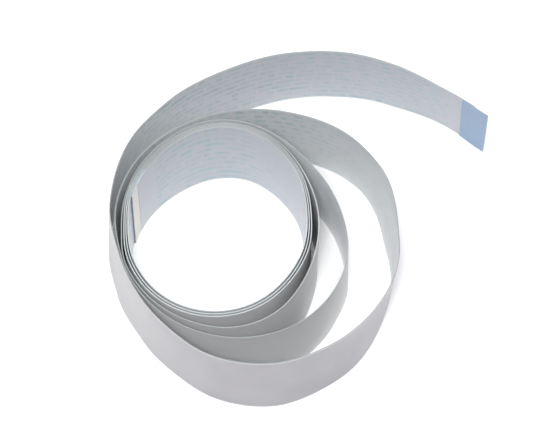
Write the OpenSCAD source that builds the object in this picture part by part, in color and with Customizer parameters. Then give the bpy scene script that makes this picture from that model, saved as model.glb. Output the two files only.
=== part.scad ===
// Flat ribbon cable, loosely wound and standing on its long edge.
// Two plastic films are laminated over a row of flat conductors. Each end has a
// stiffener on one side and bare conductors on the other, ready for a slide-in
// connector. The run is a chain of bends that meet tangent to tangent: a tight
// oval stack first, then loops that open out, and a free end.

/* [Conductors] */
// Number of flat conductors side by side
conductor_count = 30; // [10:1:40]
// Distance from one conductor's middle to the next
conductor_pitch = 1; // [0.8:0.05:1.27]
// Width of one flat conductor
conductor_w = 0.7; // [0.3:0.05:0.75]
// Thickness of one flat conductor
conductor_t = 0.1; // [0.05:0.01:0.12]

/* [Films] */
// Thickness of the printed film, on the side that faces the coil's middle
printed_film_t = 0.1; // [0.06:0.01:0.12]
// Thickness of the plain film over the conductors, on the outside
plain_film_t = 0.1; // [0.06:0.01:0.12]

/* [Ends] */
// Length over which one film is cut back to bare the conductors
contact_len = 5; // [3:0.5:8]
// Length of the stiffener at each end
stiffener_len = 10; // [9:0.5:15]
// Thickness of a stiffener
stiffener_t = 0.2; // [0.1:0.025:0.25]

/* [Coil] */
// Clear space between one turn of the stack and the next
turn_gap = 0.5; // [0.4:0.05:1]
// Number of full turns in the tight stack
stack_turns = 3; // [2:1:5]
// Radius of the bend at the stack's two long sides, on the innermost turn
side_r = 35.5; // [33:0.5:40]
// How much tighter than the sides the bend at the far end is
far_tighter = 12.5; // [10:0.5:15]

/* [Hidden] */
// Angles that the stack's far and near bends turn through
FAR_BEND = 74;
NEAR_BEND = 103;
// Angle of the first bend after the inner stiffener, and the way it starts out
FIRST_BEND = 30;
FIRST_HEADING = 76;
// The loops outside the stack, bend by bend: how much tighter or wider than
// the stack's side each one is, and the angle that it turns through
LOOPS = [
    [-12.5, 79], [5, 77], [-13, 64], [-3.5, 63], [0.5, 76], [-12.5, 59],
    [11.5, 54], [-8.5, 63], [-3, 71], [1.5, 60], [-2, 54], [9, 54],
    [3.5, 85], [4.5, 55], [0.5, 51], [13, 95], [25.5, 71], [58.5, 15],
];

cable_t = printed_film_t + conductor_t + plain_film_t;
cable_w = (conductor_count + 1) * conductor_pitch;
turn_pitch = cable_t + turn_gap;
conductors_from = printed_film_t;

// Radii are kept to hundredths of a millimetre and angles to hundredths of a degree
function hundredths(x) = round(100 * x) / 100;

// Each bend of the winding lies a quarter of a turn's pitch outside the last
function wound_r(base_r, k) = hundredths(base_r + turn_pitch * k / 4);
function arc_angle(len, r) = hundredths(len / r * 180 / PI);

// The near bend's radius follows from the others, so that a turn closes
far_r = side_r - far_tighter;
near_r = side_r - far_tighter * sin(FAR_BEND / 2) / sin(NEAR_BEND / 2);
side_bend = 180 - (FAR_BEND + NEAR_BEND) / 2;
STACK_TURN = [
    [side_r, side_bend],
    [far_r, FAR_BEND],
    [side_r, side_bend],
    [near_r, NEAR_BEND],
];
stack_bends = 4 * stack_turns;
last_r = wound_r(side_r + LOOPS[len(LOOPS) - 1][0], stack_bends + len(LOOPS));

function end_bends(r, first_len, second_len) = [
    [r, arc_angle(first_len, r)],
    [r, arc_angle(second_len, r)],
];

// The whole run from the inner end to the free end, as [radius, angle] bends.
// The first two and the last two are the stiffened ends.
RUN = concat(
    end_bends(side_r, contact_len, stiffener_len - contact_len),
    [[side_r, FIRST_BEND]],
    [for (k = [1:stack_bends]) [wound_r(STACK_TURN[k % 4][0], k), STACK_TURN[k % 4][1]]],
    [for (k = [0:len(LOOPS) - 1])
        [wound_r(side_r + LOOPS[k][0], stack_bends + 1 + k), LOOPS[k][1]]],
    end_bends(last_r, stiffener_len - contact_len, contact_len)
);
last = len(RUN) - 1;

// Where each bend starts: [x, y, heading]. Every bend turns clockwise.
function right_of(heading) = [sin(heading), -cos(heading)];
function centre_of(start, r) = [start[0], start[1]] + r * right_of(start[2]);
function after(start, bend) =
    let (c = centre_of(start, bend[0]), h = start[2] - bend[1], p = c - bend[0] * right_of(h))
    [p[0], p[1], h];
STARTS = [
    for (k = 0, s = [0, 0, FIRST_HEADING]; k <= last; s = after(s, RUN[k]), k = k + 1) s
];

// The run's extent on the ground, to stand it with its middle at the origin
LOOKS_PER_BEND = 90;
OUTLINE = [
    for (k = [0:last])
    for (i = [0:LOOKS_PER_BEND])
    let (heading = STARTS[k][2] - RUN[k][1] * i / LOOKS_PER_BEND)
    centre_of(STARTS[k], RUN[k][0]) - (RUN[k][0] + cable_t) * right_of(heading)
];
xs = [for (p = OUTLINE) p[0]];
ys = [for (p = OUTLINE) p[1]];
MIDDLE = [(min(xs) + max(xs)) / 2, (min(ys) + max(ys)) / 2];

function conductor_name(i) = str("conductor_", i < 10 ? "0" : "", i);
$fn = 120;

// Moves to a point in two steps, whole hundredths and then the rest, so that one
// bend ends exactly where the next one starts
module place(p) {
    whole = [hundredths(p[0]), hundredths(p[1])];
    translate(whole)
        translate(p - whole)
            children();
}

// Sweeps a cross-section along the bends from first_bend to last_bend. In the
// section, x is the distance out from the run and y is the height.
module along_run(first_bend, last_bend) {
    for (k = [first_bend:last_bend])
        place(centre_of(STARTS[k], RUN[k][0]) - MIDDLE)
            rotate_extrude(start = STARTS[k][2] + 90 - RUN[k][1], angle = RUN[k][1])
                translate([RUN[k][0], 0])
                    children();
}

module printed_film() {
    color("gainsboro")
        along_run(1, last)
            square([printed_film_t, cable_w]);
}

// The plain film's adhesive fills the gaps between the conductors
module plain_film() {
    color("white")
        along_run(0, last - 1)
            difference() {
                translate([conductors_from, 0])
                    square([conductor_t + plain_film_t, cable_w]);
                for (i = [1:conductor_count])
                    conductor_section(i);
            }
}

module conductor_section(i) {
    translate([conductors_from, i * conductor_pitch - conductor_w / 2])
        square([conductor_t, conductor_w]);
}

module conductor(i) {
    color("silver")
        along_run(0, last)
            conductor_section(i);
}

module inner_end_stiffener() {
    color("lightsteelblue")
        along_run(0, 1)
            translate([cable_t, 0])
                square([stiffener_t, cable_w]);
}

module outer_end_stiffener() {
    color("lightsteelblue")
        along_run(last - 1, last)
            translate([-stiffener_t, 0])
                square([stiffener_t, cable_w]);
}

printed_film();
plain_film();
for (i = [1:conductor_count])
    conductor(i);
inner_end_stiffener();
outer_end_stiffener();
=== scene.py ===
"""Dresses a flat ribbon cable: sweeps its films, conductors and stiffeners along the run."""

import math

import bpy
from bpy.props import (
    FloatProperty,
    FloatVectorProperty,
    IntProperty,
    PointerProperty,
)
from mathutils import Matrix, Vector


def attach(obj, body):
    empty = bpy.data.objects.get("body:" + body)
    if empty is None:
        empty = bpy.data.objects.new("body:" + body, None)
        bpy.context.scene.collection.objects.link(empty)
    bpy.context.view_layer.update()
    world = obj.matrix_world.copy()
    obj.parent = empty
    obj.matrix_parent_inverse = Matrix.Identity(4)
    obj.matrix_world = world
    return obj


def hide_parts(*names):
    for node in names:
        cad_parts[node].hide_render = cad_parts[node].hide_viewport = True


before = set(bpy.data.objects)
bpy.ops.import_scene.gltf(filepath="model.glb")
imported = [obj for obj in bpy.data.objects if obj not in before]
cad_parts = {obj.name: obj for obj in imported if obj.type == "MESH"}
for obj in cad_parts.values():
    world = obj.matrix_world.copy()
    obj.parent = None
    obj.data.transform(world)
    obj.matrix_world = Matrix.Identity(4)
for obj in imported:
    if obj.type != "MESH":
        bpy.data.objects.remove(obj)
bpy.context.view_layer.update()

bl_info = {
    "name": "Ribbon cable",
    "version": (1, 0, 0),
    "blender": (4, 5, 0),
    "location": "3D View > Sidebar > Ribbon cable",
    "description": "Sweeps a flat cable's films, conductors and stiffeners along its run",
    "category": "Add Mesh",
}

MM = 0.001
BODY = "root"

# Points that lie nearer than SAME_PLACE count as one place, and those nearer than WELD
# are merged. The floor lies FLOOR_DROP below the cable.
SAME_PLACE = 0.01 * MM
WELD = 0.001 * MM
FLOOR_DROP = 0.02 * MM

# Angles, in degrees, that the stack's far and near bends turn through, the first
# bend after the inner stiffener, and the way that the cable starts out
FAR_BEND = 74
NEAR_BEND = 103
FIRST_BEND = 30
FIRST_HEADING = 76

# The loops outside the stack, bend by bend: how much tighter or wider than the
# stack's side each one is, in millimetres, and the angle that it turns through
LOOPS = (
    (-12.5, 79), (5, 77), (-13, 64), (-3.5, 63), (0.5, 76), (-12.5, 59),
    (11.5, 54), (-8.5, 63), (-3, 71), (1.5, 60), (-2, 54), (9, 54),
    (3.5, 85), (4.5, 55), (0.5, 51), (13, 95), (25.5, 71), (58.5, 15),
)

# How far the cable's top leans outwards, in degrees, at points along the run that
# are counted in turns from the inner end. The tight stack leans alike on each turn.
STACK_LEAN = ((0, 0.9), (0.15, 4), (0.3, 2.2), (0.42, 0.6), (0.55, 1), (0.85, 1))
LOOSE_LEAN = (
    (3, 1), (3.15, 4), (3.3, 2.2), (3.42, 0.6), (3.55, 1.2), (3.85, 1),
    (4, 1.2), (4.15, 3.6), (4.28, 1), (4.38, -2), (4.44, -0.8), (4.53, 3),
    (4.6, 3.4), (4.72, 1.4), (4.85, 1), (5, 1.4), (5.15, 3), (5.27, -1),
    (5.33, -1), (5.41, 4.4), (5.455, 3), (5.51, 5.6), (5.61, 2.6), (5.7, 0.8),
    (5.8, 1.6), (5.87, 0.6), (5.92, -1.5), (6.02, -2.7), (6.14, -0.4), (6.16, -0.3),
    (6.22, -2), (6.27, -4), (6.3, -7.2), (6.33, -5.2),
)

# How far the free end's lower edge lies back along the run, as a share of the width
END_SLANT = ((6.2, 0), (6.3, 0.07), (6.33, 0.1))

# How far the cable lies from its even place, in millimetres, outwards positive. The
# stack is drawn together at its far end and pressed in at its two sides. The outer
# loop lies further in on the right and stands out on the left.
SHIFT = (
    (0, -0.15), (0.05, -0.2), (0.2, 0), (0.38, -0.1), (0.45, -0.8), (0.52, -0.2),
    (0.6, -0.25), (0.85, -0.25), (0.9, -0.15), (0.96, -0.8), (1, -0.3), (1.05, -0.45),
    (1.2, -0.35), (1.38, -0.35), (1.45, -0.95), (1.52, -0.2), (1.9, -0.2), (1.96, -1),
    (2, -0.6), (2.05, -0.75), (2.2, -0.7), (2.38, -0.6), (2.45, -1.05), (2.52, -0.15),
    (2.9, -0.2), (2.96, -1.2), (3, -0.85), (3.05, -0.95), (3.2, -1), (3.3, -0.9),
    (3.38, -0.4), (3.45, 0.1), (3.52, 0), (3.9, -0.2), (3.96, -1.35), (4, -1.1),
    (4.05, -0.9), (4.2, -0.6), (4.3, -0.5), (4.34, -0.8), (4.4, -0.45), (4.48, -0.25),
    (4.55, -0.4), (4.65, 0), (4.84, 0), (4.89, -0.2), (4.93, -0.5), (4.98, 0),
    (5.24, 0), (5.31, 0.5), (5.37, 0.1), (5.45, -1.5), (5.51, -0.4), (5.58, -0.4),
    (5.63, -0.3), (5.7, 0.35), (5.77, 0.4), (5.84, -0.6), (5.89, -0.8), (5.92, -0.7),
    (5.975, 0.7), (6.04, 1.2), (6.09, 0.4), (6.145, -0.6), (6.19, -0.25), (6.24, 0.1),
    (6.27, -0.1), (6.3, -0.8), (6.32, -0.6), (6.33, -0.2),
)


def length(name, about, millimetres):
    """A size that is shown as a length."""
    return FloatProperty(
        name=name, description=about, default=millimetres * MM, unit="LENGTH", precision=5
    )


def colour(name, about, rgb):
    """A colour in linear light."""
    return FloatVectorProperty(
        name=name, description=about, default=rgb, size=3, min=0, max=1, subtype="COLOR"
    )


class CableSizes(bpy.types.PropertyGroup):
    """The flat cable's own section and ends."""

    conductor_count: IntProperty(
        name="Conductors", description="Flat conductors side by side", default=30, min=2
    )
    conductor_pitch: length("Pitch", "From one conductor's middle to the next", 1)
    conductor_w: length("Conductor width", "Width of one flat conductor", 0.7)
    conductor_t: length("Conductor thickness", "Thickness of one flat conductor", 0.1)
    printed_film_t: length("Printed film", "Thickness of the film that faces the middle", 0.1)
    plain_film_t: length("Plain film", "Thickness of the outer film over the conductors", 0.1)
    contact_len: length("Contacts", "Length over which one film is cut back", 5)
    stiffener_len: length("Stiffener length", "Length of the stiffener at each end", 10)
    stiffener_t: length("Stiffener thickness", "Thickness of a stiffener", 0.2)


class CoilSizes(bpy.types.PropertyGroup):
    """How the cable is wound."""

    turn_gap: length("Turn gap", "Clear space between two turns of the stack", 0.5)
    stack_turns: IntProperty(
        name="Stack turns", description="Full turns in the tight stack", default=3, min=1
    )
    side_r: length("Side radius", "Bend at the innermost turn's long sides", 35.5)
    far_tighter: length("Far end tighter", "How much tighter the far bend is", 12.5)
    ring_step: length("Ring step", "Distance along the run between two mesh rings", 2.2)


class FilmLooks(bpy.types.PropertyGroup):
    """Colours of the films, the print, the stiffeners and the conductors."""

    printed_film: colour("Printed film", "Film that faces the middle", (0.6, 0.62, 0.63))
    plain_film: colour("Plain film", "Outer film", (0.64, 0.63, 0.625))
    # Painted shade: a darker tone for the printed film where it lies open to the lamps
    printed_painted_shade: colour("Printed film, handled", "Where it lies open", (0.465, 0.48, 0.51))
    # Painted light: a paler tone for the printed film where a loop shades it
    printed_painted_light: colour("Printed film, clean", "Where a loop shades it", (0.88, 0.9, 0.92))
    # Painted shade: a darker tone for the plain film where it lies open to the lamps
    plain_painted_shade: colour("Plain film, handled", "Where it lies open", (0.3, 0.29, 0.305))
    cut_edge: colour("Cut edge", "Edges where the films were slit", (0.33, 0.355, 0.35))
    # Painted highlight: a paler tone on the stack's slit edges, but for its far side, where light
    # falls on them
    lit_stack_edge: colour(
        "Stack edge", "Slit edges of the stack, but for its far side", (0.6, 0.64, 0.65)
    )
    ink: colour("Ink", "Printed dashes", (0.04, 0.36, 0.43))
    stiffener: colour("Stiffener", "Tape at the ends", (0.195, 0.31, 0.47))
    tin: colour("Tin", "Plated conductors", (0.6, 0.575, 0.51))
    row_pitch: length("Row pitch", "From one printed row to the next", 2.8)
    dash_h: length("Dash height", "Height of a printed dash", 1.3)
    dash_slot: length("Dash slot", "Room for one dash and the gap after it", 6.2)
    row_shift: length("Row shift", "How far each row is set back from the one below", 6)
    print_margin: length("Print margin", "Bare film beside each stiffener", 5)


class StageSizes(bpy.types.PropertyGroup):
    """Camera and floor."""

    elevation: FloatProperty(
        name="Elevation",
        description="Camera's height above the level",
        default=math.radians(62),
        subtype="ANGLE",
    )
    distance: length("Distance", "Camera to the point that it looks at", 1565.5)
    look_at: FloatVectorProperty(
        name="Look at",
        description="Point at the picture's middle",
        default=(-8.221 * MM, 10.340 * MM, 0),
        size=3,
        subtype="TRANSLATION",
    )
    lens: FloatProperty(name="Lens", description="Focal length in millimetres", default=320.7)
    floor_w: length("Floor", "Width of the floor", 6000)


# The run: a chain of bends, each one tangent to the next


def hundredths(x):
    """Radii are kept to hundredths of a millimetre and angles to hundredths of a degree."""
    return math.floor(100 * x + 0.5) / 100


class Bend:
    """One bend of the run: sizes in millimetres and degrees, headings anticlockwise from +X."""

    def __init__(self, start, heading, radius, angle, along=0, turned=0):
        self.start, self.heading, self.radius, self.angle = start, heading, radius, angle
        self.along, self.turned = along, turned
        self.arc = math.radians(angle) * radius
        self.centre = start - radius * outward(heading)

    def point(self, share):
        """A point on the bend and the way outwards there."""
        out = outward(self.heading - share * self.angle)
        return self.centre + self.radius * out, out

    def next(self, radius, angle):
        """The bend that follows this one."""
        start, heading = self.point(1)[0], self.heading - self.angle
        return Bend(start, heading, radius, angle, self.along + self.arc, self.turned + self.angle)


def outward(heading):
    """The way from a bend's centre to the run, where the run has that heading."""
    turn = math.radians(heading)
    return Vector((-math.sin(turn), math.cos(turn)))


def run_sizes(cable, coil):
    """Radius and angle of each bend, from the inner end to the free end."""
    side, gap = coil.side_r / MM, coil.turn_gap / MM
    cable_t = (cable.printed_film_t + cable.conductor_t + cable.plain_film_t) / MM
    quarter_pitch = (cable_t + gap) / 4
    contact = cable.contact_len / MM
    rest = cable.stiffener_len / MM - contact
    far_r = side - coil.far_tighter / MM
    narrowing = math.sin(math.radians(FAR_BEND / 2)) / math.sin(math.radians(NEAR_BEND / 2))
    near_r = side - (side - far_r) * narrowing
    side_bend = 180 - (FAR_BEND + NEAR_BEND) / 2
    turn = ((side, side_bend), (far_r, FAR_BEND), (side, side_bend), (near_r, NEAR_BEND))
    bends = 4 * coil.stack_turns

    def wound(base, k):
        return hundredths(base + quarter_pitch * k)

    def end(radius, *lengths):
        return [(radius, hundredths(math.degrees(x / radius))) for x in lengths]

    stack = [(wound(turn[k % 4][0], k), turn[k % 4][1]) for k in range(1, bends + 1)]
    loops = [(wound(side + r, bends + 1 + k), a) for k, (r, a) in enumerate(LOOPS)]
    last_r = wound(side + LOOPS[-1][0], bends + len(LOOPS))
    first = [*end(hundredths(side), contact, rest), (hundredths(side), FIRST_BEND)]
    return [*first, *stack, *loops, *end(last_r, rest, contact)]


def cable_run(cable, coil):
    """The run's bends, with the middle of the outer face's extent at the origin."""
    samples = 90
    cable_t = (cable.printed_film_t + cable.conductor_t + cable.plain_film_t) / MM
    sizes = run_sizes(cable, coil)
    bends = [Bend(Vector((0, 0)), FIRST_HEADING, *sizes[0])]
    for radius, angle in sizes[1:]:
        bends.append(bends[-1].next(radius, angle))
    outline = []
    for bend in bends:
        for i in range(samples + 1):
            point, out = bend.point(i / samples)
            outline.append(point + cable_t * out)
    low = Vector(min(p[k] for p in outline) for k in (0, 1))
    high = Vector(max(p[k] for p in outline) for k in (0, 1))
    middle = (low + high) / 2
    for bend in bends:
        bend.start = bend.start - middle
        bend.centre = bend.centre - middle
    return bends


class Ring:
    """A place along the run, the way outwards there, and the cable's lean, slant and shift."""

    def __init__(self, bend, share, leans, slants, shifts):
        point, self.out = bend.point(share)
        turns = (bend.turned + share * bend.angle) / 360
        self.point = point * MM
        self.along = (bend.along + share * bend.arc) * MM
        self.lean = math.radians(eased(leans, turns))
        self.slant = eased(slants, turns)
        self.shift = eased(shifts, turns) * MM

    def place(self, upright, drop):
        """Where a point of the upright cable lies when it leans, by its drop from the top."""
        forward = Vector((self.out.y, -self.out.x))
        across = self.shift - drop * math.sin(self.lean)
        return upright + self.out * across - forward * (self.slant * drop)


def rings_of(bend, coil):
    """The rings of a mesh that is swept along one bend."""
    tables = run_tables(coil)
    steps = max(2, math.ceil(bend.arc * MM / coil.ring_step))
    return [Ring(bend, i / steps, *tables) for i in range(steps + 1)]


def run_tables(coil):
    """The lean, the slant and the shift along the run, for the number of turns in the stack."""
    stack = [(t + turn, lean) for turn in range(coil.stack_turns) for t, lean in STACK_LEAN]
    moved = coil.stack_turns - round(LOOSE_LEAN[0][0])
    loose, slants, shifts = (
        [(t + moved, value) for t, value in table] for table in (LOOSE_LEAN, END_SLANT, SHIFT)
    )
    return stack + loose, slants, shifts


def eased(table, turns):
    """A value along the run, eased from one point of its table to the next."""
    before = max(0, sum(t <= turns for t, _ in table) - 1)
    after = min(before + 1, len(table) - 1)
    (t0, a), (t1, b) = table[before], table[after]
    share = max(0, min(1, (turns - t0) / (t1 - t0))) if t1 > t0 else 0
    return a + (b - a) * share * share * (3 - 2 * share)


# Modelling


def settings():
    """The four groups of settings."""
    scene = bpy.context.scene
    return scene.cable_sizes, scene.coil_sizes, scene.film_looks, scene.stage_sizes


def select_only(piece):
    """Makes a piece the only selected object."""
    bpy.ops.object.select_all(action="DESELECT")
    piece.select_set(True)
    bpy.context.view_layer.objects.active = piece


def select_faces(piece, test):
    """Selects the faces whose middle passes a test, and leaves edit mode open."""
    bpy.ops.object.mode_set(mode="OBJECT")
    for part in (*piece.data.vertices, *piece.data.edges):
        part.select = False
    for face in piece.data.polygons:
        face.select = test(face.center)
    bpy.ops.object.mode_set(mode="EDIT")


def flat_section(name, depth, height):
    """A rectangle that stands on the x axis, with its thickness along x."""
    (near, far), (low, high) = depth, height
    bpy.ops.object.select_all(action="DESELECT")
    bpy.ops.mesh.primitive_plane_add(size=1, location=(0, 0, 0))
    piece = bpy.context.object
    piece.name = piece.data.name = name
    bpy.ops.object.mode_set(mode="EDIT")
    bpy.ops.mesh.select_all(action="SELECT")
    bpy.ops.transform.resize(value=(far - near, high - low, 1))
    bpy.ops.transform.translate(value=((near + far) / 2, (low + high) / 2, 0))
    bpy.ops.object.mode_set(mode="OBJECT")
    return piece


def stand_up(piece, bend):
    """Stands a flat section across the run at the start of a bend."""
    point, out = bend.point(0)
    for vertex in piece.data.vertices:
        depth, height, _ = vertex.co
        place = point * MM + out * depth
        vertex.co = (place.x, place.y, height)


def spin_round(part, bend, steps):
    """Spins the section round one bend."""
    bpy.context.tool_settings.mesh_select_mode = (False, False, True)
    select_faces(part, lambda middle: True)
    bpy.ops.mesh.spin(
        steps=steps,
        angle=math.radians(bend.angle),
        center=(*(bend.centre * MM), 0),
        axis=(0, 0, 1),
    )
    bpy.ops.object.mode_set(mode="OBJECT")


def open_end(part, ring):
    """Takes away the faces that close a swept bend at one of its rings."""
    forward = Vector((ring.out.y, -ring.out.x))
    select_faces(part, lambda middle: abs((middle.xy - ring.point) @ forward) < SAME_PLACE)
    bpy.ops.mesh.delete(type="ONLY_FACE")
    bpy.ops.object.mode_set(mode="OBJECT")


def lean_and_map(part, rings, cable_w):
    """Leans each ring of a swept mesh and gives the mesh a map of run distance and height."""
    mesh = part.data
    corners = len(mesh.vertices) // len(rings)
    if corners * len(rings) != len(mesh.vertices):
        raise RuntimeError(f"{part.name} has {len(mesh.vertices)} points for {len(rings)} rings")
    places = []
    for k, vertex in enumerate(mesh.vertices):
        ring = rings[k // corners]
        across = vertex.co.xy - ring.point
        if abs(across.x * ring.out.y - across.y * ring.out.x) > SAME_PLACE:
            raise RuntimeError(f"point {k} of {part.name} isn't on its ring")
        height = vertex.co.z
        places.append((ring.along, height))
        moved = ring.place(vertex.co.xy, cable_w - height)
        vertex.co = (moved.x, moved.y, height * math.cos(ring.lean))
    layer = mesh.uv_layers.new(name="Run")
    for corner in mesh.loops:
        layer.data[corner.index].uv = places[corner.vertex_index]


def join_bends(parts, name):
    """Joins the swept bends into one closed mesh."""
    bpy.ops.object.select_all(action="DESELECT")
    for part in parts:
        part.select_set(True)
    bpy.context.view_layer.objects.active = parts[0]
    bpy.ops.object.join()
    piece = bpy.context.object
    piece.name = piece.data.name = name
    bpy.ops.object.mode_set(mode="EDIT")
    bpy.ops.mesh.select_all(action="SELECT")
    bpy.ops.mesh.remove_doubles(threshold=WELD)
    bpy.ops.mesh.normals_make_consistent(inside=False)
    bpy.ops.object.mode_set(mode="OBJECT")
    return piece


def finish_piece(piece, nodes, look):
    """Smooths a piece, gives it its material and ties it to the frame."""
    select_only(piece)
    bpy.ops.object.shade_smooth_by_angle(angle=math.radians(30))
    piece.data.materials.clear()
    piece.data.materials.append(look)
    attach(piece, BODY)
    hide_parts(*nodes)
    return piece


def sweep(section, first, last):
    """Sweeps a flat section along the run, bend by bend, and leans it."""
    cable, coil, _, _ = settings()
    bends = cable_run(cable, coil)
    first, last = first % len(bends), last % len(bends)
    parts = []
    for k in range(first, last + 1):
        select_only(section)
        bpy.ops.object.duplicate()
        part = bpy.context.object
        rings = rings_of(bends[k], coil)
        stand_up(part, bends[k])
        spin_round(part, bends[k], len(rings) - 1)
        if k > first:
            open_end(part, rings[0])
        if k < last:
            open_end(part, rings[-1])
        lean_and_map(part, rings, cable_width(cable))
        parts.append(part)
    name = section.name
    select_only(section)
    bpy.ops.object.delete()
    return join_bends(parts, name)


# Materials


# Tones, in linear light, that tint the films: over the gaps between the conductors,
# in the cool and the warm clouds, and along both margins
GAP_SHADE = (0.36, 0.38, 0.41)
COOL_CLOUD = (0.36, 0.44, 0.5)
WARM_CLOUD = (0.52, 0.45, 0.46)
PALE_MARGIN = (0.68, 0.71, 0.705)

# How far from the cable's edges the pale margin begins and is full, and how deep the
# slit edge's own tone reaches, in millimetres
MARGIN_FROM, MARGIN_FULL, SLIT_DEPTH = 0.8, 0.4, 0.03


class Look:
    """A node material with short ways to add nodes."""

    def __init__(self, name):
        self.material = bpy.data.materials.new(name)
        self.material.use_nodes = True
        self.nodes = self.material.node_tree.nodes
        self.links = self.material.node_tree.links
        self.shader = self.nodes["Principled BSDF"]

    def put(self, socket, value):
        """Links a socket to another node's, or sets its own value."""
        if isinstance(value, bpy.types.NodeSocket):
            self.links.new(value, socket)
        else:
            socket.default_value = value

    def shade(self, **inputs):
        """Fills the shader's inputs, named with underscores for spaces."""
        for name, value in inputs.items():
            self.put(self.shader.inputs[name.replace("_", " ")], value)

    def node(self, kind, inputs=(), **options):
        """Adds a node, sets its options and fills its inputs, by number or by name."""
        made = self.nodes.new(kind)
        for option, value in options.items():
            setattr(made, option, value)
        for key, value in dict(inputs).items():
            self.put(made.inputs[key], value)
        return made

    def math(self, operation, *values):
        """The result of a sum on up to three numbers."""
        return self.node("ShaderNodeMath", enumerate(values), operation=operation).outputs[0]

    def ramp(self, value, low, high, to_low=0.0, to_high=1.0):
        """A number eased from one range to another."""
        node = self.node(
            "ShaderNodeMapRange",
            {0: value, 1: low, 2: high, 3: to_low, 4: to_high},
            interpolation_type="SMOOTHSTEP",
        )
        return node.outputs[0]

    def mix(self, share, a, b):
        """A colour between two others."""
        node = self.node("ShaderNodeMix", data_type="RGBA")
        self.put(node.inputs[0], share)
        for socket, value in ((node.inputs[6], a), (node.inputs[7], b)):
            self.put(socket, (*value, 1) if isinstance(value, tuple) else value)
        return node.outputs[2]

    def noise(self, scale, detail, where=None):
        """Smooth noise from 0 to 1, on the piece's own place."""
        if where is None:
            where = self.node("ShaderNodeTexCoord").outputs["Object"]
        node = self.node(
            "ShaderNodeTexNoise", {"Vector": where, "Scale": scale, "Detail": detail}
        )
        return node.outputs[0]

    def noise_over(self, *rates, scale=1, detail=1):
        """Smooth noise over one or two numbers, each multiplied by its own rate."""
        parts = [self.math("MULTIPLY", value, rate) for value, rate in rates]
        where = self.node("ShaderNodeCombineXYZ", enumerate(parts)).outputs[0]
        return self.noise(scale, detail, where)

    def bump(self, height, distance, strength):
        """Raises the surface by a height."""
        node = self.node(
            "ShaderNodeBump", {"Height": height, "Distance": distance, "Strength": strength}
        )
        self.shade(Normal=node.outputs[0])


class RunMap:
    """A look's map of the run: distance along it and height on the cable, in millimetres."""

    def __init__(self, look):
        cable, coil, _, _ = settings()
        place = look.node("ShaderNodeUVMap", uv_map="Run").outputs[0]
        parts = look.node("ShaderNodeSeparateXYZ", {0: place}).outputs
        self.along, self.height = (look.math("DIVIDE", parts[k], MM) for k in (0, 1))
        self.look, self.bends = look, cable_run(cable, coil)
        self.end = self.bends[-1].along + self.bends[-1].arc
        self.stack_turns = coil.stack_turns

    def after_stack(self, *turns):
        """Places that are given in turns from the stack's end, in turns from the inner end."""
        return tuple(self.stack_turns + t for t in turns)

    def along_at(self, turns):
        """The distance along the run where it has made a number of turns."""
        for bend in self.bends:
            share = (turns * 360 - bend.turned) / bend.angle
            if share <= 1:
                return bend.along + share * bend.arc
        return self.end

    def ease(self, turns, low=0.0, high=1.0):
        """A number eased from low to high between two places, given in turns."""
        begin, end = (self.along_at(t) for t in turns)
        return self.look.ramp(self.along, begin, end, low, high)

    def stretch(self, begin, end, strength=1.0):
        """A strength on one stretch of the run and 0 elsewhere, eased over both its ends."""
        risen, fallen = self.ease(begin, 0.0, strength), self.ease(end, 1.0, 0.0)
        return self.look.math("MULTIPLY", risen, fallen)

    def each_turn(self, begin, end):
        """1 on the same stretch of every turn and 0 elsewhere, eased over both its ends."""
        inside = 0.0
        for turn in range(math.ceil(self.bends[-1].turned / 360)):
            here = self.stretch(*([turn + t for t in pair] for pair in (begin, end)))
            inside = self.look.math("ADD", inside, here)
        return inside


def conductor_ridges(look, height):
    """From 0 over the gaps to 1 over the conductors, across the film."""
    cable = settings()[0]
    pitch = cable.conductor_pitch / MM
    half = cable.conductor_w / cable.conductor_pitch / 2
    nearest = look.math("FRACT", look.math("ADD", look.math("DIVIDE", height, pitch), 0.5))
    away = look.math("ABSOLUTE", look.math("SUBTRACT", nearest, 0.5))
    return look.ramp(away, half - 0.12, half + 0.08, 1.0, 0.0)


def slit_tone(look, run, looks):
    """The slit edges' tone: grey on the loops and the stack's far side, paler on the rest of the
    stack as painted highlight.
    """
    loose = run.ease(run.after_stack(0.35, 0.85))
    far_side = run.each_turn((0, 0.08), (0.34, 0.42))
    grey = look.math("MAXIMUM", loose, far_side)
    return look.mix(grey, tuple(looks.lit_stack_edge), tuple(looks.cut_edge))


def film_surface(look, run, tone, clouding):
    """The satin surface that both films share, with pale margins and slit edges toned with painted
    highlight.
    """
    cable, _, looks, _ = settings()
    ridges = conductor_ridges(look, run.height)
    mottle = look.noise(190, 3)
    shaded = look.mix(look.ramp(ridges, 0, 1, 0.06, 0.0), tone, GAP_SHADE)
    cooled = look.mix(look.ramp(mottle, 0.5, 0.72, 0.0, clouding), shaded, COOL_CLOUD)
    clouded = look.mix(look.ramp(mottle, 0.28, 0.5, clouding, 0.0), cooled, WARM_CLOUD)
    half = cable_width(cable) / MM / 2
    from_middle = look.math("ABSOLUTE", look.math("SUBTRACT", run.height, half))
    margin = look.ramp(from_middle, half - MARGIN_FROM, half - MARGIN_FULL, 0.0, 0.45)
    edged = look.mix(margin, clouded, PALE_MARGIN)
    slit = look.math("GREATER_THAN", from_middle, half - SLIT_DEPTH)
    look.shade(
        Base_Color=look.mix(slit, edged, slit_tone(look, run, looks)),
        Roughness=look.ramp(look.noise(40, 2), 0.3, 0.7, 0.3, 0.33),
        IOR=1.55,
        Specular_IOR_Level=0.22,
    )
    look.bump(ridges, 0.012 * MM, 0.6)


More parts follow.
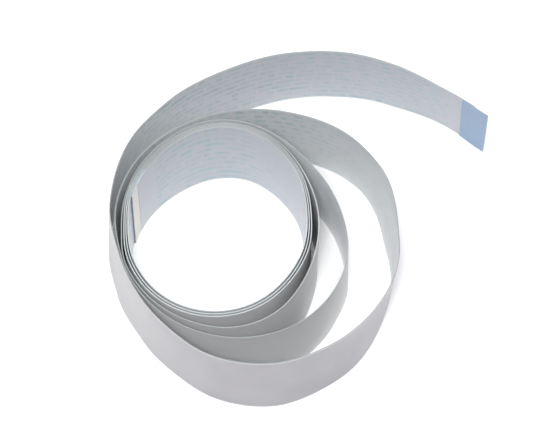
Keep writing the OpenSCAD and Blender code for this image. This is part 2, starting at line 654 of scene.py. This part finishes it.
def printed_marks(look, run, looks):
    """The share of ink: rows of broken dashes, alike in every row and set back row by row."""
    row_place = look.math("DIVIDE", run.height, looks.row_pitch / MM)
    off_row = look.math("ABSOLUTE", look.math("SUBTRACT", look.math("FRACT", row_place), 0.5))
    half_dash = looks.dash_h / looks.row_pitch / 2
    on_row = look.ramp(off_row, half_dash - 0.06, half_dash + 0.06, 1.0, 0.0)
    row = look.math("FLOOR", row_place)
    set_back = look.math("MULTIPLY_ADD", row, looks.row_shift / MM, run.along)
    wander = look.ramp(look.noise_over((set_back, 0.125)), 0.2, 0.8, 0.0, 1.4)
    slot_place = look.math("ADD", look.math("DIVIDE", set_back, looks.dash_slot / MM), wander)
    number, within = look.math("FLOOR", slot_place), look.math("FRACT", slot_place)
    chance = look.node(
        "ShaderNodeTexWhiteNoise", {"W": number}, noise_dimensions="1D"
    ).outputs[0]
    dash = look.ramp(chance, 0, 1, 0.45, 0.9)
    opening = look.ramp(within, 0.0, 0.05)
    closing = look.ramp(look.math("SUBTRACT", within, dash), -0.05, 0.0, 1.0, 0.0)
    broken = look.ramp(look.noise_over((set_back, 0.5)), 0.3, 0.46, 0.15, 1.0)
    patch = look.ramp(look.noise_over((run.along, 1 / 5), (run.height, 1 / 3)), 0.3, 0.7, 0.1, 0.4)
    bold = look.ramp(look.math("FRACT", look.math("MULTIPLY", chance, 7.31)), 0.5, 1, 0.7, 1.2)
    ink = look.math("MULTIPLY", patch, bold)
    for mask in (on_row, opening, closing, broken):
        ink = look.math("MULTIPLY", ink, mask)
    return ink


def printed_look():
    """The printed film; its marks fade on the inner turn and, as painted sheen, on each turn's
    right.
    """
    cable, _, looks, _ = settings()
    look = Look("printed_film")
    run = RunMap(look)
    # Painted shade: the innermost turn and the free end, which lie open to the lamps, are darkened
    inner_turn = run.ease((0.85, 1.1), 1.0, 0.0)
    free_end = run.ease(run.after_stack(3.05, 3.28))
    painted_shade_share = look.math("MAXIMUM", inner_turn, free_end)
    # Painted light: two walls that loops shade are lifted towards a paler tone
    shaded_wall = run.stretch(run.after_stack(1.24, 1.4), run.after_stack(1.5, 1.62))
    left_wall = run.stretch(run.after_stack(2.8, 2.92), run.after_stack(3.08, 3.2), 0.3)
    painted_light_share = look.math("ADD", shaded_wall, left_wall)
    base = look.mix(painted_light_share, tuple(looks.printed_film), tuple(looks.printed_painted_light))
    film = look.mix(painted_shade_share, base, tuple(looks.printed_painted_shade))
    # Painted sheen: the print is faded on each turn's right, where the lamp's sheen washes it out
    painted_sheen = run.each_turn((0.2, 0.36), (0.5, 0.6))
    bare = (cable.stiffener_len + looks.print_margin) / MM
    ink = printed_marks(look, run, looks)
    for mask in (
        look.ramp(inner_turn, 0, 1, 1.0, 0.8),
        look.ramp(painted_sheen, 0, 1, 1.0, 0.4),
        look.ramp(run.along, bare - 0.3, bare),
        look.ramp(run.along, run.end - bare, run.end - bare + 0.3, 1.0, 0.0),
    ):
        ink = look.math("MULTIPLY", ink, mask)
    film_surface(look, run, look.mix(ink, film, tuple(looks.ink)), 0.12)
    return look.material


def plain_look():
    """The plain film, greyer on the outermost loop and a little on the stack, as painted shade."""
    looks = settings()[2]
    look = Look("plain_film")
    run = RunMap(look)
    # Painted shade: the outermost loop, open to the lamps, is greyed, less over two of its
    # stretches, and the stack a little
    painted_shade_share = run.ease(run.after_stack(2.1, 2.35))
    for turns, share in (((2.45, 2.56), 0.92), ((2.72, 2.9), 0.71)):
        painted_shade_share = look.math("MULTIPLY", painted_shade_share, run.ease(run.after_stack(*turns), 1.0, share))
    stack = run.ease(run.after_stack(1, 1.3), 0.12, 0.0)
    clouds = look.ramp(look.noise(45, 2), 0.3, 0.7, 0.85, 1.0)
    share = look.math("MULTIPLY", look.math("MAXIMUM", painted_shade_share, stack), clouds)
    tone = look.mix(share, tuple(looks.plain_film), tuple(looks.plain_painted_shade))
    film_surface(look, run, tone, 0.04)
    return look.material


def stiffener_look():
    """Light blue polyester tape."""
    looks = settings()[2]
    look = Look("stiffener")
    grain = look.noise(900, 2)
    dull = tuple(c * 0.93 for c in looks.stiffener)
    look.shade(
        Base_Color=look.mix(look.noise(120, 3), tuple(looks.stiffener), dull),
        Roughness=look.ramp(grain, 0.3, 0.7, 0.28, 0.36),
        IOR=1.55,
    )
    look.bump(grain, 0.004 * MM, 0.5)
    return look.material


def tin_look():
    """Tin plate with fine draw marks along the run."""
    looks = settings()[2]
    look = Look("tinned_conductor")
    run = RunMap(look)
    marks = look.noise_over((run.along, 0.4), (run.height, 9), scale=3, detail=3)
    look.shade(
        Base_Color=look.mix(marks, tuple(looks.tin), tuple(c * 0.86 for c in looks.tin)),
        Roughness=look.ramp(marks, 0.3, 0.7, 0.32, 0.46),
        Metallic=0.85,
    )
    look.bump(marks, 0.006 * MM, 0.6)
    return look.material


# Operators


def cable_depths(cable):
    """Where the layers lie, outwards from the printed film's inner face."""
    conductors_from = cable.printed_film_t
    film_from = conductors_from + cable.conductor_t
    return conductors_from, film_from, film_from + cable.plain_film_t


def cable_width(cable):
    """The cable's width, which is its height where it stands."""
    return (cable.conductor_count + 1) * cable.conductor_pitch


class MakePrintedFilm(bpy.types.Operator):
    """Sweeps the printed film, from the inner contacts to the free end"""

    bl_idname = "ribbon_cable.printed_film"
    bl_label = "Printed film"

    def execute(self, context):
        cable, coil, _, _ = settings()
        depth = (0, cable.printed_film_t)
        piece = flat_section("printed_film_strip", depth, (0, cable_width(cable)))
        piece = sweep(piece, 1, -1)
        finish_piece(piece, ["printed_film"], printed_look())
        cable_run(cable, coil)[1:]
        return {"FINISHED"}


class MakePlainFilm(bpy.types.Operator):
    """Sweeps the plain film, with the adhesive that fills the gaps between the conductors"""

    bl_idname = "ribbon_cable.plain_film"
    bl_label = "Plain film"

    def execute(self, context):
        cable, coil, _, _ = settings()
        conductors_from, film_from, outside = cable_depths(cable)
        width, pitch, half = cable_width(cable), cable.conductor_pitch, cable.conductor_w / 2
        piece = flat_section("plain_film_strip", (film_from, outside), (0, width))
        bpy.ops.object.mode_set(mode="EDIT")
        for i in range(1, cable.conductor_count + 1):
            for edge in (i * pitch - half, i * pitch + half):
                bpy.ops.mesh.select_all(action="SELECT")
                bpy.ops.mesh.bisect(plane_co=(0, edge, 0), plane_no=(0, 1, 0))
        self.grow_adhesive(piece, film_from, conductors_from, pitch, half)
        piece = sweep(piece, 0, -2)
        finish_piece(piece, ["plain_film"], plain_look())
        cable_run(cable, coil)[:-1]
        return {"FINISHED"}

    def grow_adhesive(self, piece, film_from, conductors_from, pitch, half):
        """Extrudes the inner edges between the conductors inwards, and merges the faces."""
        bpy.ops.object.mode_set(mode="OBJECT")
        bpy.context.tool_settings.mesh_select_mode = (False, True, False)
        mesh = piece.data
        for part in (*mesh.vertices, *mesh.polygons):
            part.select = False
        for edge in mesh.edges:
            a, b = (mesh.vertices[v].co for v in edge.vertices)
            inner = max(a.x, b.x) < film_from + SAME_PLACE
            place = (a.y + b.y) / 2 / pitch
            edge.select = inner and abs(place - max(1, round(place))) * pitch > half
        bpy.ops.object.mode_set(mode="EDIT")
        bpy.ops.mesh.extrude_edges_move(
            TRANSFORM_OT_translate={"value": (conductors_from - film_from, 0, 0)}
        )
        bpy.ops.mesh.select_all(action="SELECT")
        bpy.ops.mesh.dissolve_limited(angle_limit=math.radians(1))
        bpy.ops.object.mode_set(mode="OBJECT")


class MakeConductors(bpy.types.Operator):
    """Sweeps the flat conductors side by side, then separates them into one piece each"""

    bl_idname = "ribbon_cable.conductors"
    bl_label = "Conductors"

    def execute(self, context):
        cable = settings()[0]
        conductors_from, film_from, _ = cable_depths(cable)
        half = cable.conductor_w / 2
        first = (cable.conductor_pitch - half, cable.conductor_pitch + half)
        strips = flat_section("conductor_strip", (conductors_from, film_from), first)
        bpy.ops.object.mode_set(mode="EDIT")
        bpy.ops.mesh.select_all(action="SELECT")
        for _ in range(1, cable.conductor_count):
            bpy.ops.mesh.duplicate_move(
                TRANSFORM_OT_translate={"value": (0, cable.conductor_pitch, 0)}
            )
        bpy.ops.object.mode_set(mode="OBJECT")
        select_only(sweep(strips, 0, -1))
        bpy.ops.mesh.separate(type="LOOSE")
        pieces = sorted(context.selected_objects, key=lambda p: p.data.vertices[0].co.z)
        if len(pieces) != cable.conductor_count:
            raise RuntimeError(f"{len(pieces)} strips for {cable.conductor_count} conductors")
        look = tin_look()
        for i, piece in enumerate(pieces, 1):
            piece.name = piece.data.name = f"conductor_strip_{i:02d}"
            finish_piece(piece, [f"conductor_{i:02d}"], look)
        return {"FINISHED"}


class MakeStiffeners(bpy.types.Operator):
    """Sweeps the tape that stiffens each end"""

    bl_idname = "ribbon_cable.stiffeners"
    bl_label = "Stiffeners"

    def execute(self, context):
        cable = settings()[0]
        _, _, outside = cable_depths(cable)
        look = stiffener_look()
        ends = (
            ("inner_end", (outside, outside + cable.stiffener_t), 0, 1),
            ("outer_end", (-cable.stiffener_t, 0), -2, -1),
        )
        for end, depth, first, last in ends:
            piece = flat_section(f"{end}_tape", depth, (0, cable_width(cable)))
            piece = sweep(piece, first, last)
            finish_piece(piece, [f"{end}_stiffener"], look)
        return {"FINISHED"}


class MakeStage(bpy.types.Operator):
    """Lays a pale floor and sets up soft light and the camera"""

    bl_idname = "ribbon_cable.stage"
    bl_label = "Stage"

    def execute(self, context):
        stage = settings()[3]
        self.lay_floor(stage)
        self.light(context.scene)
        self.aim_camera(context.scene, stage)
        context.scene.view_settings.view_transform = "Standard"
        return {"FINISHED"}

    def lay_floor(self, stage):
        """A large pale floor just below the cable."""
        bpy.ops.object.select_all(action="DESELECT")
        bpy.ops.mesh.primitive_plane_add(size=stage.floor_w, location=(0, 0, -FLOOR_DROP))
        floor = bpy.context.object
        floor.name = "floor"
        look = Look("floor")
        tone = look.mix(look.noise(2, 2), (0.93, 0.93, 0.93), (0.95, 0.95, 0.95))
        look.shade(Base_Color=tone, Roughness=0.9)
        floor.data.materials.append(look.material)

    def light(self, scene):
        """A light above the camera, a wide one overhead, one at each side, and a dim surround."""
        lamps = (
            ("above_camera", (-0.1, -0.84, 1.7), 0.4, 21.5),
            ("overhead", (0, 0.1, 1.6), 1.6, 22),
            ("left", (-1.3, -0.3, 1.2), 0.8, 5),
            ("right", (1.3, -0.3, 1.2), 0.8, 3.5),
        )
        for name, place, size, power in lamps:
            bpy.ops.object.select_all(action="DESELECT")
            bpy.ops.object.light_add(type="AREA", location=place)
            lamp = bpy.context.object
            lamp.name = name
            lamp.data.shape = "DISK"
            lamp.data.size = size
            lamp.data.energy = power
            lamp.rotation_euler = (-Vector(place)).to_track_quat("-Z", "Y").to_euler()
        world = bpy.data.worlds.new("surround")
        world.use_nodes = True
        background = world.node_tree.nodes["Background"].inputs
        background["Color"].default_value = (0.84, 0.86, 1, 1)
        background["Strength"].default_value = 0.24
        scene.world = world

    def aim_camera(self, scene, stage):
        """A long lens that looks down on the coil from the front."""
        away = Vector((0, -math.cos(stage.elevation), math.sin(stage.elevation)))
        place = Vector(stage.look_at) + away * stage.distance
        tilt = (math.pi / 2 - stage.elevation, 0, 0)
        bpy.ops.object.camera_add(location=place, rotation=tilt)
        camera = bpy.context.object
        camera.name = "camera"
        camera.data.lens = stage.lens
        camera.data.sensor_width = 36
        camera.data.clip_end = 10
        scene.camera = camera


class RibbonCablePanel(bpy.types.Panel):
    """Lists the cable's pieces and their sizes"""

    bl_idname = "VIEW3D_PT_ribbon_cable"
    bl_label = "Ribbon cable"
    bl_space_type = "VIEW_3D"
    bl_region_type = "UI"
    bl_category = "Ribbon cable"

    def draw(self, context):
        for operator in OPERATORS:
            self.layout.operator(operator.bl_idname)
        for group in GROUPS:
            owner, box = getattr(context.scene, group), self.layout.box()
            for name in owner.__annotations__:
                box.prop(owner, name)


GROUPS = {
    "cable_sizes": CableSizes,
    "coil_sizes": CoilSizes,
    "film_looks": FilmLooks,
    "stage_sizes": StageSizes,
}
OPERATORS = (MakeStage, MakePrintedFilm, MakePlainFilm, MakeConductors, MakeStiffeners)
CLASSES = (*GROUPS.values(), *OPERATORS, RibbonCablePanel)


def register():
    """Registers the classes and ties the settings to the scene."""
    for made in CLASSES:
        bpy.utils.register_class(made)
    for name, group in GROUPS.items():
        setattr(bpy.types.Scene, name, PointerProperty(type=group))


def unregister():
    """Takes back what register did."""
    for name in GROUPS:
        delattr(bpy.types.Scene, name)
    for made in reversed(CLASSES):
        bpy.utils.unregister_class(made)


def main():
    """Makes the stage and every piece."""
    register()
    bpy.ops.ribbon_cable.stage()
    bpy.ops.ribbon_cable.printed_film()
    bpy.ops.ribbon_cable.plain_film()
    bpy.ops.ribbon_cable.conductors()
    bpy.ops.ribbon_cable.stiffeners()


if __name__ == "__main__":
    main()
